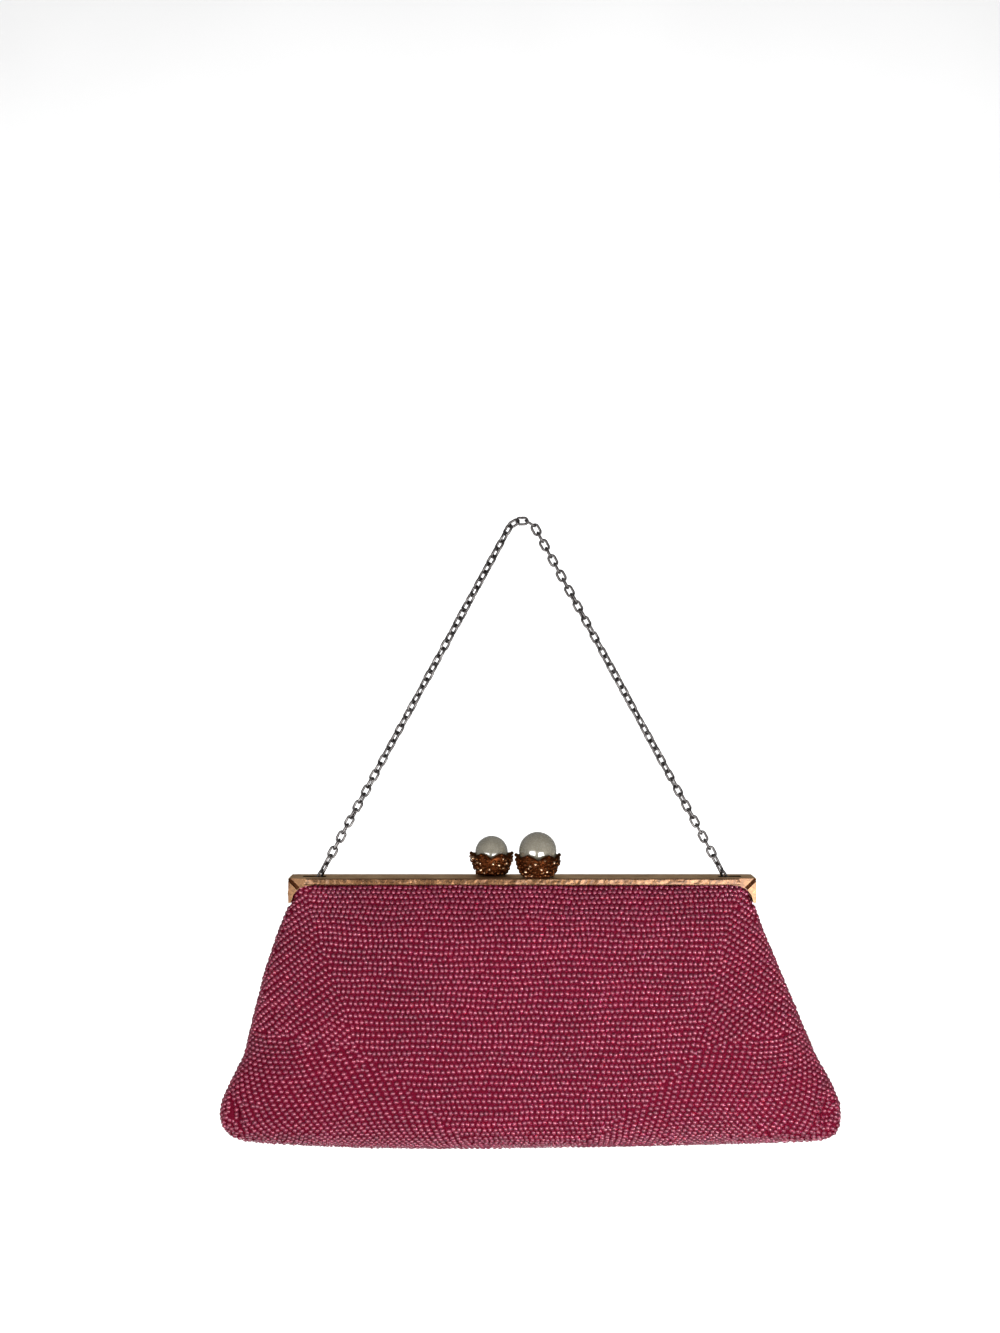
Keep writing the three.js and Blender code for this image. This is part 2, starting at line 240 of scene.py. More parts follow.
def copies(shape, places, axes, name, finish, tones=None):
    """One piece of many copies of a small shape. axes holds three column vectors for each copy."""
    shape.verts.index_update()
    base = np.array([v.co for v in shape.verts])
    faces = [[v.index for v in face.verts] for face in shape.faces]
    shape.free()
    corners = np.array([i for face in faces for i in face])
    starts = np.concatenate([[0], np.cumsum([len(face) for face in faces])[:-1]])
    count = len(places)
    points = np.einsum("nij,kj->nki", axes, base) + np.asarray(places)[:, None, :]
    order = np.arange(count)[:, None]
    mesh = bpy.data.meshes.new(name)
    mesh.vertices.add(count * len(base))
    mesh.vertices.foreach_set("co", points.astype(np.float32).ravel())
    mesh.loops.add(count * len(corners))
    mesh.loops.foreach_set("vertex_index", (corners + order * len(base)).astype(np.int32).ravel())
    mesh.polygons.add(count * len(faces))
    mesh.polygons.foreach_set("loop_start", (starts + order * len(corners)).astype(np.int32).ravel())
    mesh.update(calc_edges=True)
    mesh.shade_smooth()
    if tones is not None:
        tone = mesh.attributes.new("tone", "FLOAT", "POINT")
        tone.data.foreach_set("value", np.repeat(tones, len(base)).astype(np.float32))
    return piece_from_mesh(mesh, name, finish)


# Finishes

class Finish:
    """A node material on a Principled shader, with short ways to add and join its nodes."""

    def __init__(self, name, **sockets):
        self.material = bpy.data.materials.new(name)
        self.material.use_nodes = True
        self.tree = self.material.node_tree
        self.shader = self.tree.nodes["Principled BSDF"]
        for socket, value in sockets.items():
            self.shader.inputs[socket.replace("_", " ")].default_value = value
        self.place = self.tree.nodes.new("ShaderNodeTexCoord").outputs["Object"]

    def add(self, kind, settings=None, **inputs):
        node = self.tree.nodes.new("ShaderNode" + kind)
        for key, value in (settings or {}).items():
            setattr(node, key, value)
        for key, value in inputs.items():
            socket = node.inputs[int(key[1:])] if key[0] == "_" else node.inputs[key]
            if isinstance(value, bpy.types.NodeSocket):
                self.tree.links.new(value, socket)
            else:
                socket.default_value = value
        return node

    def noise(self, size_mm, detail=3.0, roughness=0.55):
        """Cloudy values about 0.5, with patches of about the given size."""
        return self.add("TexNoise", Vector=self.place, Scale=1 / (size_mm * MM), Detail=detail,
                        Roughness=roughness).outputs["Fac"]

    def ramp(self, value, *stops):
        node = self.add("ValToRGB", Fac=value)
        marks = node.color_ramp.elements
        while len(marks) < len(stops):
            marks.new(0.5)
        for mark, (at, colour) in zip(marks, stops):
            mark.position = at
            mark.color = (*colour, 1) if hasattr(colour, "__len__") else (colour, colour, colour, 1)
        return node.outputs["Color"]

    def mix(self, share, first, second, blend="MIX"):
        node = self.add("Mix", {"data_type": "RGBA", "blend_type": blend}, _0=share, _6=first, _7=second)
        return node.outputs[2]

    def fit(self, value, low, high, new_low, new_high):
        return self.add("MapRange", _0=value, _1=low, _2=high, _3=new_low, _4=new_high).outputs["Result"]

    def math(self, operation, first, second):
        return self.add("Math", {"operation": operation}, _0=first, _1=second).outputs["Value"]

    def join(self, socket, value):
        self.tree.links.new(value, self.shader.inputs[socket])

    def bump(self, height, distance_mm, strength=1.0):
        node = self.add("Bump", Height=height, Distance=distance_mm * MM, Strength=strength)
        self.join("Normal", node.outputs["Normal"])


def bead_finish():
    """Glass that is darker or lighter by each bead's tone, and glossier where it is lighter. The tone holds
    a spread from bead to bead and a painted sheen streaked along the rows.
    """
    finish = Finish("raspberry_glass", IOR=1.9, Specular_IOR_Level=0.76, Specular_Tint=(1.0, 0.48, 0.58, 1),
                    Subsurface_Weight=1.0, Subsurface_Scale=1.1 * MM, Subsurface_Radius=(1.0, 0.3, 0.4))
    tone = finish.add("Attribute", {"attribute_name": "tone"}).outputs["Fac"]
    glass = finish.ramp(tone, (0.0, (0.096, 0.0046, 0.0185)), (0.5, (0.134, 0.0076, 0.0275)),
                        (1.0, (0.19, 0.015, 0.0425)))
    cloud = finish.fit(finish.noise(24), 0.3, 0.7, 0.88, 1.12)
    finish.join("Base Color", finish.mix(1.0, glass, cloud, "MULTIPLY"))
    finish.join("Roughness", finish.fit(tone, 0.0, 1.0, 0.42, 0.24))
    finish.bump(finish.noise(0.6, 2), 0.05, 0.35)
    return finish.material


def cloth_finish():
    """Dark cloth, with threads both ways."""
    finish = Finish("wine_cloth", Roughness=0.9, Specular_IOR_Level=0.0)
    threads = [
        finish.add("TexWave", {"wave_type": "BANDS", "bands_direction": direction}, Vector=finish.place,
                   Scale=1 / (2.2 * MM), Distortion=1.5, Detail=2.0).outputs["Fac"]
        for direction in ("Z", "X")
    ]
    weave = finish.math("MULTIPLY", *threads)
    wine = finish.ramp(weave, (0.0, (0.08, 0.003, 0.0115)), (1.0, (0.13, 0.0045, 0.0185)))
    finish.join("Base Color", wine)
    finish.bump(weave, 0.15, 0.6)
    return finish.material


def gilt_finish(name, bright, dull, roughness, grain_mm, grain_depth, lacquer=0.0):
    """Worn gilt: bright where it is rubbed, browner in patches, with a soft hammered grain."""
    finish = Finish(name, Metallic=1.0, Coat_Weight=lacquer, Coat_Roughness=0.2,
                    Specular_Tint=(1.0, 0.86, 0.66, 1))
    wear = finish.noise(7, 5, 0.65)
    specks = finish.noise(0.9, 3, 0.6)
    base = finish.ramp(wear, (0.32, dull), (0.62, bright))
    finish.join("Base Color", finish.mix(finish.fit(specks, 0.58, 0.75, 0.0, 0.55), base, (*dull, 1)))
    finish.join("Roughness", finish.fit(specks, 0.3, 0.7, roughness - 0.08, roughness + 0.12))
    finish.bump(finish.noise(grain_mm, 1.5, 0.5), grain_depth, 1.0)
    return finish.material


def grain_wear_and_glint_finish():
    """Cast granules, each made dark or bright by its own tone: the dark ones vary at random, and the
    brightest are partly worn gilt and partly painted glints.
    """
    finish = Finish("rubbed_gilt_painted_glints", Metallic=1.0)
    tone = finish.add("Attribute", {"attribute_name": "tone"}).outputs["Fac"]
    gilt = finish.ramp(tone, (0.0, (0.08, 0.022, 0.007)), (0.6, (0.16, 0.062, 0.023)),
                       (1.0, (0.8, 0.54, 0.34)))
    patches = finish.fit(finish.noise(0.5), 0.3, 0.7, 0.7, 1.1)
    finish.join("Base Color", finish.mix(1.0, gilt, patches, "MULTIPLY"))
    finish.join("Roughness", finish.fit(tone, 0.0, 1.0, 0.45, 0.22))
    finish.bump(finish.noise(0.4, 2), 0.03, 0.4)
    return finish.material


def pearl_finish():
    finish = Finish("grey_cream_pearl", Specular_IOR_Level=0.5, Coat_Weight=1.0, Coat_Roughness=0.1,
                    Coat_IOR=2.3)
    cloud = finish.noise(3.2, 4, 0.6)
    cream = finish.ramp(cloud, (0.25, (0.125, 0.112, 0.082)), (0.5, (0.158, 0.142, 0.105)),
                        (0.8, (0.2, 0.18, 0.138)))
    finish.join("Base Color", cream)
    finish.join("Roughness", finish.fit(finish.noise(0.7, 3), 0.3, 0.7, 0.2, 0.32))
    finish.bump(finish.noise(1.4, 3), 0.05, 0.25)
    return finish.material


def chain_finish():
    finish = Finish("darkened_wire", Metallic=1.0)
    tarnish = finish.noise(1.6, 4, 0.65)
    wire = finish.ramp(tarnish, (0.3, (0.06, 0.053, 0.052)), (0.55, (0.15, 0.138, 0.135)),
                       (0.8, (0.45, 0.43, 0.42)))
    finish.join("Base Color", wire)
    finish.join("Roughness", finish.fit(finish.noise(0.5, 3), 0.3, 0.7, 0.28, 0.5))
    finish.bump(finish.noise(0.3, 2), 0.02, 0.4)
    return finish.material


def floor_finish():
    finish = Finish("pale_floor", Roughness=0.9)
    finish.join("Base Color", finish.ramp(finish.noise(600, 2), (0.3, 0.83), (0.7, 0.87)))
    return finish.material


beads_finish = bead_finish()
pouch_cloth_finish = cloth_finish()
lip_finish = gilt_finish("hammered_gilt", (0.165, 0.081, 0.034), (0.092, 0.039, 0.015), roughness=0.28,
                         grain_mm=1.3, grain_depth=0.12, lacquer=0.5)
plate_finish = gilt_finish("worn_gilt", (0.2, 0.102, 0.044), (0.115, 0.049, 0.02), roughness=0.3,
                           grain_mm=2.2, grain_depth=0.1, lacquer=0.5)
# Faces of the frame that look up: duller, and painted much lighter than the plate as painted light from
# above
top_painted_light_finish = gilt_finish("dulled_gilt_painted_light", (0.9, 0.64, 0.4), (0.6, 0.38, 0.22), roughness=0.55,
                         grain_mm=1.6, grain_depth=0.05)
# Slanted crease faces and sunk faces of the frame's corners: painted near black, as painted shade in the
# folds
crease_painted_shade_finish = gilt_finish("crease_painted_shade_gilt", (0.06, 0.02, 0.008), (0.02, 0.006, 0.002), roughness=0.55,
                            grain_mm=0.7, grain_depth=0.05)
cup_finish = gilt_finish("dark_antique_gilt", (0.115, 0.031, 0.009), (0.034, 0.008, 0.002), roughness=0.45,
                         grain_mm=0.7, grain_depth=0.1)
grains_wear_and_glint_finish = grain_wear_and_glint_finish()
pearls_finish = pearl_finish()
wire_finish = chain_finish()


# Pouch surface: places on it are given flat, as millimetres across from the middle and down from the mouth

FLAT_STEP = 0.2
SMOOTH_STEPS = 9
SECTION_SAMPLES = 900
SECTION_PLACES = 220
# Taken off a count, this keeps a place inside the last cell of a grid
LAST_CELL = 1.001


def flowing_rows():
    """The table's rows at even steps down the middle of the face, with the corners between them eased."""
    down = length_along(POUCH_ROWS[:, [DROP, HALF_DEPTH]])
    at = np.arange(0, down[-1], FLAT_STEP)
    rows = np.stack([np.interp(at, down, column) for column in POUCH_ROWS.T], axis=1)
    ease = np.hanning(2 * SMOOTH_STEPS + 1)
    ease /= ease.sum()
    eased = rows.copy()
    for column in range(rows.shape[1]):
        padded = np.pad(rows[:, column], SMOOTH_STEPS, mode="reflect", reflect_type="odd")
        eased[:, column] = np.convolve(padded, ease, mode="valid")
    eased[-1, HALF_DEPTH] = 0
    return eased


rows_down = flowing_rows()


def sag_share(drop):
    """How much of the sag shows at a drop: all of it at the bottom seam, and next to none at the mouth."""
    return (drop / POUCH_ROWS[-1, DROP]) ** 4


def front_quarter():
    """Even places round the right front quarter of every section, and how far each section reaches."""
    angle = np.linspace(0, 1, SECTION_SAMPLES) ** 2
    angle = np.concatenate([angle, 2 - angle[::-1][1:]]) * math.pi / 4
    grid, reaches = [], []
    for drop, half_width, half_depth, squareness, _ in rows_down:
        side = np.sin(angle) ** (2 / squareness)
        x = half_width * side
        y = -max(half_depth, 0) * np.cos(angle) ** (2 / squareness)
        z = FRAME_TOP - drop - POUCH_SAG * (1 - side ** 2) * sag_share(drop)
        section = np.stack([x, y, z], axis=1)
        along = length_along(section)
        even = np.linspace(0, along[-1], SECTION_PLACES)
        grid.append(np.stack([np.interp(even, along, line) for line in section.T], axis=1))
        reaches.append(along[-1])
    return np.array(grid), np.array(reaches)


quarter, reach_at = front_quarter()
FLAT_LENGTH = FLAT_STEP * (len(rows_down) - 1)


def flat_down(drop):
    """How far down the face a drop below the frame lies, measured on the surface."""
    drops = np.maximum.accumulate(rows_down[:, DROP])
    return float(np.interp(drop, drops, np.arange(len(drops)) * FLAT_STEP))


def reach(down):
    """How far the face reaches from its middle to its side seam, measured on the surface."""
    return np.interp(down, np.arange(len(reach_at)) * FLAT_STEP, reach_at)


def skin(across, down, toward):
    """Places on the outer face in millimetres; toward is -1 for the front and 1 for the back."""
    row = np.clip(down / FLAT_STEP, 0, len(rows_down) - LAST_CELL)
    column = np.clip(np.abs(across) / reach(down), 0, 1) * (SECTION_PLACES - LAST_CELL)
    i, j = row.astype(int), column.astype(int)
    past_row, past_column = (row - i)[:, None], (column - j)[:, None]
    upper = quarter[i, j] * (1 - past_column) + quarter[i, j + 1] * past_column
    lower = quarter[i + 1, j] * (1 - past_column) + quarter[i + 1, j + 1] * past_column
    place = upper * (1 - past_row) + lower * past_row
    drop, half_width, sway = (np.interp(row, np.arange(len(rows_down)), rows_down[:, value])
                              for value in (DROP, HALF_WIDTH, SWAY))
    share = np.sign(across) * place[:, 0] / half_width
    place[:, 0] = sway + half_width * share
    place[:, 1] *= -toward
    place[:, 2] += SAG_LEAN * POUCH_SAG * share * (1 - share ** 2) * sag_share(drop)
    if toward < 0:
        for *dent, deep in DENTS:
            place[:, 1] += deep * np.exp(-off_centre(place, *dent))
    return place


def off_centre(place, x, fall, wide, tall):
    """How far places are from the middle of a dent, squared, with its edge at 1."""
    return ((place[:, 0] - x) / wide) ** 2 + ((place[:, 2] - FRAME_TOP + fall) / tall) ** 2


def unit(vectors):
    return vectors / np.maximum(np.linalg.norm(vectors, axis=1, keepdims=True), 1e-9)


def skin_axes(across, down, along, toward):
    """At each flat place: its flat direction laid on the surface, the one beside that, and outwards."""
    reach_by = 0.4

    def step(dx, dy):
        far = skin(across + reach_by * dx, down + reach_by * dy, toward)
        near = skin(across - reach_by * dx, down - reach_by * dy, toward)
        return unit(far - near)

    outwards = unit(np.cross(step(np.ones_like(across), 0), step(0, np.ones_like(down))))
    outwards *= np.sign((outwards * [0, toward, 0]).sum(1) + 1e-6)[:, None]
    forwards = step(along[:, 0], along[:, 1])
    forwards = unit(forwards - outwards * (forwards * outwards).sum(1)[:, None])
    return np.stack([forwards, np.cross(outwards, forwards), outwards], axis=2)


# Bead rows, laid out flat. Across is from the middle, and below is from the height of the turning points.
# Each bead has five values: across, below, the two parts of its heading, and its size.

turning_down = flat_down(TURNING_POINT_DROP)
first_down = flat_down(FIRST_ROW_DROP)


def strung(start, end, stagger=0.0):
    """Places along a row between its ends, roughly in step with the rows beside it."""
    stagger += draw.normal(0, ROW_DRIFT)
    first, last = math.ceil(start / BEAD_PITCH - stagger), math.floor(end / BEAD_PITCH - stagger)
    place = (np.arange(first, last + 1) + stagger) * BEAD_PITCH
    return place + np.cumsum(draw.normal(0, PITCH_WANDER, len(place)))


def waver(across, below):
    """The small wave of rows that were not sewn quite straight."""
    return sum(height * np.sin(across * beside + below * under) for height, beside, under in ROW_WAVES)


def upper_rows():
    """Rows above the turning points: level in the middle, and bent down at the mitre on either side."""
    laid = []
    first = math.ceil((first_down - turning_down) / ROW_PITCH)
    for number in range(first, 1):
        below = number * ROW_PITCH
        half = TURNING_POINT_X - below * math.tan(UPPER_MITRE)
        along = strung(-half - SIDE_ROWS_LENGTH, half + SIDE_ROWS_LENGTH, 0.5 * (number % 2))
        past = np.maximum(np.abs(along) - half, 0)
        bent = (past > 0) * 2 * UPPER_MITRE
        side = np.sign(along)
        lift = waver(along, below)
        across = side * (np.minimum(np.abs(along), half) + past * np.cos(bent) - lift * np.sin(bent))
        down = below + past * np.sin(bent) + lift * np.cos(bent)
        inside = down < (np.abs(across) - TURNING_POINT_X) * -math.tan(SIDE_MITRE) + 1e-6
        rows = np.stack([across, down, np.cos(bent), side * np.sin(bent), np.ones_like(along)], 1)
        laid.append(rows[inside | (past == 0)])
    return np.concatenate(laid)


def lower_rows():
    """Level rows under the turning points, each as long as the two lower mitres let it be."""
    laid = []
    for number in range(1, int((FLAT_LENGTH - turning_down) / ROW_PITCH) + 1):
        below = number * ROW_PITCH
        half = TURNING_POINT_X - below / math.tan(LOWER_MITRE)
        across = strung(-half, half, 0.5 * (number % 2))
        level = np.ones_like(across)
        laid.append(np.stack([across, below + waver(across, below), level, 0 * level, level], 1))
    return np.concatenate(laid)


def corner_lean(across, below, extra):
    """How far a corner row leans from upright: rows fan out from a low point, and stand up near the side."""
    fan = np.arctan2(FAN_CENTRE[0] - across, FAN_CENTRE[1] - below)
    past_line = np.maximum(0.0, UPRIGHT_LINE_ACROSS - UPRIGHT_LINE_SLOPE * below - across)
    return fan + extra - np.radians(past_line)


def heading(lean):
    return np.array([math.sin(lean), math.cos(lean)])


def corner_rows(extra, row_pitch):
    """Rows of the left lower corner, laid bead by bead up and down from a line across the corner."""
    laid = []
    across, end = CORNER_LINE_ACROSS
    number, phase = 0, 0.0
    while across < end:
        middle = np.array([across, CORNER_LINE_BELOW + CORNER_LINE_SLOPE * across])
        lean = corner_lean(*middle, extra)
        lead = (0.5 * number + phase) % 1
        for way, first in ((-1, lead), (1, 1 - lead)):
            spot = middle + way * first * BEAD_PITCH * heading(lean)
            for _ in range(CORNER_ROW_BEADS):
                onwards = heading(corner_lean(*spot, extra))
                if spot[1] > spot[0] * math.tan(SIDE_MITRE if spot[0] < 0 else LOWER_MITRE):
                    laid.append([*spot, *onwards, 1.0])
                spot = spot + way * (BEAD_PITCH + draw.normal(0, CORNER_WANDER)) * onwards
        step = row_pitch / (math.cos(lean) - CORNER_LINE_SLOPE * math.sin(lean))
        across += step
        phase += step * (math.sin(lean) + CORNER_LINE_SLOPE * math.cos(lean)) / BEAD_PITCH
        number += 1
    return np.array(laid) - [TURNING_POINT_X, 0, 0, 0, 0]


def mirrored(rows):
    return rows * [-1, 1, -1, 1, 1]


def thinned(groups):
    """Leaves out each bead that would sit in one laid before it."""
    every = np.concatenate([group["place"] for group in groups])
    tree = tree_of(every)
    kept = np.ones(len(every), bool)
    for i, place in enumerate(every):
        if kept[i]:
            for _, j, _ in tree.find_range(place, BEADS_APART):
                if j > i:
                    kept[j] = False
    start = 0
    for group in groups:
        mine = kept[start:start + len(group["place"])]
        start += len(group["place"])
        for key in ("place", "axes"):
            group[key] = group[key][mine]
    return groups


def laid_on(rows, toward, name):
    """Beads of flat rows set on the pouch, a little uneven in size, place and lean."""
    down = rows[:, 1] + turning_down
    room = reach(np.clip(down, 0, FLAT_LENGTH)) - EDGE_ROOM
    inside = (down >= first_down - FIRST_ROW_ROOM) & (down <= FLAT_LENGTH - EDGE_ROOM)
    inside &= np.abs(rows[:, 0]) <= room
    rows, down = rows[inside], down[inside]
    across = rows[:, 0] + draw.normal(0, UNEVENNESS, len(rows))
    down = down + draw.normal(0, UNEVENNESS, len(rows))
    axes = skin_axes(across, down, rows[:, 2:4], toward)
    depth = BEAD_DEPTH + draw.normal(0, DEPTH_UNEVENNESS, len(rows))
    place = skin(across, down, toward) - axes[:, :, 2] * depth[:, None]
    lean = draw.normal(0, LEAN_UNEVENNESS, (len(rows), 3))
    uneven = np.zeros((len(rows), 3, 3))
    for i, j, k in ((0, 1, 2), (1, 2, 0), (2, 0, 1)):
        uneven[:, i, i] = 1
        uneven[:, i, j], uneven[:, j, i] = -lean[:, k], lean[:, k]
    size = rows[:, 4] * (1 + draw.normal(0, SIZE_UNEVENNESS, len(rows)))
    scale = np.stack([BEAD_LENGTH * np.ones_like(size), BEAD_DIAMETER * size, BEAD_HEIGHT * size], 1)
    folded = [off_centre(place, *dent) < 1 for *dent, _ in DENTS[:FOLDS]]
    shown = ~np.any(folded, axis=0) | (toward > 0)
    return {"name": name, "place": place[shown], "axes": ((axes @ uneven) * scale[:, None, :])[shown]}


def seam_row(name):
    """The row of beads along the seam, down the left side, along the bottom and up the right side."""
    side_steps, bottom_steps, end, reach_by = 900, 600, 0.5, 2
    down = np.linspace(flat_down(SEAM_TOP_DROP), FLAT_LENGTH, side_steps)
    low = np.full(bottom_steps, FLAT_LENGTH)
    left = skin(-reach(down), down, 1)
    bottom = skin(np.linspace(-1, 1, bottom_steps) * reach(low), low, 1)
    right = skin(reach(down), down, 1)
    line = np.concatenate([left, bottom[1:-1], right[::-1]])
    along = length_along(line)
    at = strung(end, along[-1] - end)

    def on_line(where):
        return np.stack([np.interp(where, along, values) for values in line.T], axis=1)

    forwards = unit(on_line(at + reach_by) - on_line(at - reach_by))
    forwards[:, 1] = 0
    forwards = unit(forwards)
    depth = np.tile([0.0, 1.0, 0.0], (len(at), 1))
    outwards = np.cross(depth, forwards)
    size = [SEAM_BEAD_STRETCH * BEAD_LENGTH, BEAD_DIAMETER, BEAD_HEIGHT]
    axes = np.stack([forwards, depth, outwards], axis=2) * size
    return {"name": name, "place": on_line(at) - outwards * BEAD_DEPTH, "axes": axes}


def row_heading(across, below):
    """The flat direction of the bead rows at flat places."""
    out = np.abs(across) - TURNING_POINT_X
    lean = corner_lean(-out, below, 0)
    bent = np.where(out > -below * math.tan(UPPER_MITRE), 2 * UPPER_MITRE, 0)
    corner = (below > -out * math.tan(SIDE_MITRE)) & (below > -out * math.tan(LOWER_MITRE))
    return (np.where(corner, -np.sign(across) * np.sin(lean), np.cos(bent)),
            np.where(corner, np.cos(lean), np.sign(across) * np.sin(bent)))


def filled(groups, toward, name):
    """Single beads for the holes that are left along the mitres and seams of one face."""
    grid = np.meshgrid(np.arange(*HOLE_GRID_ACROSS, HOLE_GRID_STEP),
                       np.arange(*HOLE_GRID_BELOW, HOLE_GRID_STEP))
    across, below = (line.ravel() + draw.uniform(-HOLE_GRID_JITTER, HOLE_GRID_JITTER, line.size)
                     for line in grid)
    single = np.full(across.size, FILLER_SIZE)
    extra = laid_on(np.column_stack([across, below, *row_heading(across, below), single]), toward, name)
    extra["place"] -= FILLER_DEPTH * unit(extra["axes"][:, :, 2])
    tree = tree_of(np.concatenate([group["place"] for group in groups]))
    in_hole = np.array([tree.find(place)[2] > HOLE_SIZE for place in extra["place"]])
    extra["place"], extra["axes"] = extra["place"][in_hole], extra["axes"][in_hole]
    return thinned([extra])[0]


def bead_shape():
    """A seed bead about 1 long and 1 wide, with sloping shoulders."""
    profile = ((-0.48, 0), (-0.4, 0.3), (0, 0.485), (0.4, 0.3), (0.48, 0))
    return turned(profile, steps=10, axis=(1, 0, 0))


def sew_beads():
    groups = [seam_row("beads_seam")]
    for toward, side in FACES:
        upper = upper_rows()
        middle = np.abs(upper[:, 0]) < TURNING_POINT_X
        left, right = upper[~middle & (upper[:, 0] < 0)], upper[~middle & (upper[:, 0] > 0)]
        groups += [
            laid_on(upper[middle], toward, f"beads_{side}_upper"),
            laid_on(lower_rows(), toward, f"beads_{side}_lower"),
            laid_on(np.concatenate([left, corner_rows(*LEFT_CORNER)]), toward, f"beads_{side}_left"),
            laid_on(np.concatenate([right, mirrored(corner_rows(*RIGHT_CORNER))]), toward,
                    f"beads_{side}_right"),
        ]
    groups = thinned(groups)
    for toward, side in FACES:
        groups.append(filled(groups, toward, f"beads_{side}_mitres"))
    pieces = []
    sheen_streak_size = np.array([SHEEN_STREAK_LENGTH, SHEEN_STREAK_LENGTH, SHEEN_STREAK_HEIGHT])
    for group in groups:
        # Painted sheen: long lighter and darker bands of tone along the rows, on top of each bead's spread
        sheen_streaks = np.array([noise.noise(Vector(place)) for place in group["place"] / sheen_streak_size])
        tones = 0.5 + SHEEN_STREAK_SHARE * sheen_streaks + draw.normal(0, TONE_SPREAD, len(sheen_streaks))
        pieces.append(copies(bead_shape(), group["place"] * MM, group["axes"] * MM, group["name"],
                             beads_finish, np.clip(tones, 0, 1)))
    return pieces


# Pouch cloth under the beads

CLOTH_HALF_ROUND = 108
CLOTH_DOWN = 70
CLOTH_TOP_ROOM, CLOTH_BOTTOM_ROOM = 0.2, 0.05
CLOTH_MERGE = 0.2


def pouch_cloth():
    """The bag itself: a ring of cloth at the mouth, drawn down row by row and closed along the bottom."""
    shape = bmesh.new()
    half = CLOTH_HALF_ROUND
    ring = bmesh.ops.create_circle(shape, segments=2 * half, radius=1)["verts"]
    downs = np.linspace(CLOTH_TOP_ROOM, FLAT_LENGTH - CLOTH_BOTTOM_ROOM, CLOTH_DOWN)
    share = np.linspace(-1, 1, half, endpoint=False)
    for i, down in enumerate(downs):
        if i:
            edges = [shape.edges.get(pair) for pair in zip(ring, ring[1:] + ring[:1])]
            fresh = verts_in(bmesh.ops.extrude_edge_only(shape, edges=edges)["geom"])
            under = {}
            for vert in fresh:
                above = next(e.other_vert(vert) for e in vert.link_edges if e.other_vert(vert) in ring)
                under[above] = vert
            ring = [under[vert] for vert in ring]
        downs_here = np.full(half, down)
        across = share * float(reach(down))
        for toward, part, places in ((-1, ring[:half], across), (1, ring[half:], -across)):
            axes = skin_axes(places, downs_here, np.tile([1.0, 0.0], (half, 1)), toward)
            spots = skin(places, downs_here, toward) - axes[:, :, 2] * CLOTH_DEPTH
            for vert, spot in zip(part, spots):
                vert.co = Vector(spot) * MM
    return shape


cloth_shape = pouch_cloth()
bmesh.ops.remove_doubles(cloth_shape, verts=cloth_shape.verts, dist=CLOTH_MERGE * MM)
bmesh.ops.recalc_face_normals(cloth_shape, faces=cloth_shape.faces)
soften(cloth_shape)
pouch = piece_from(cloth_shape, "pouch_cloth", pouch_cloth_finish)
thickness = pouch.modifiers.new("cloth_thickness", "SOLIDIFY")
thickness.thickness = CLOTH_THICKNESS * MM
thickness.offset = -1
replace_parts(pouch, "pouch")
bead_pieces = sew_beads()


# Purse frame

PLATE, TOP, CREASE = range(3)
SHARP_EDGE = math.radians(40)
FRAME_EASE, RIVET_EASE = 0.16, 0.1
# The faces of the corner webs lie between these depths, a little behind the lip, and they are painted near
# black as painted shade
WEB_DEPTHS = (5.3, 5.8)


def eased_copy(node, name, width):
    """A copy of a metal node with its edges eased. Its faces looking up are duller and painted much lighter
    than the plate, as painted light from above, and its slanted crease faces and sunk faces are painted near
    black, as painted shade.
    """
    shape = bmesh.new()
    shape.from_mesh(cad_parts[node].data)
    bmesh.ops.remove_doubles(shape, verts=shape.verts, dist=1e-6)
    bmesh.ops.dissolve_limit(shape, angle_limit=math.radians(1), verts=shape.verts, edges=shape.edges)
    sharp = [edge for edge in shape.edges if edge.is_manifold and edge.calc_face_angle() > SHARP_EDGE]
    bmesh.ops.bevel(shape, geom=sharp, offset=width * MM, offset_type="OFFSET", segments=2, profile=0.5,
                    affect="EDGES", material=-1, clamp_overlap=True)
    for face in shape.faces:
        slanted = abs(face.normal.x) > 0.5 and abs(face.normal.z) > 0.5
        depth = abs(face.calc_center_median().y) / MM
        sunk = abs(face.normal.y) > 0.9 and WEB_DEPTHS[0] < depth < WEB_DEPTHS[1]
        # Faces looking up take the top finish, which is painted lighter as light from above
        outer = TOP if face.normal.z > 0.9 else PLATE
        # Slanted and sunk faces take the painted shade of the creases
        face.material_index = CREASE if slanted or sunk else outer
    piece = piece_from(shape, name, plate_finish)
    piece.data.materials.append(top_painted_light_finish)
    piece.data.materials.append(crease_painted_shade_finish)
    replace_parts(piece, node)


# Lip bands: their mesh, how far they stand out, the dents hammered into them, and how their ends sink back
LIP_BAND_STEPS = (280, 6)
LIP_BAND_HEIGHT = LIP_HEIGHT - 0.1
LIP_BAND_STANDS_OUT = 0.12
LIP_DENT_DEPTH = 0.1
LIP_DENTS_PER_MM = (0.7, 0.28)
LIP_END_LENGTH, LIP_END_SINKS = 5, 0.3
LIP_SKIRT = 0.35


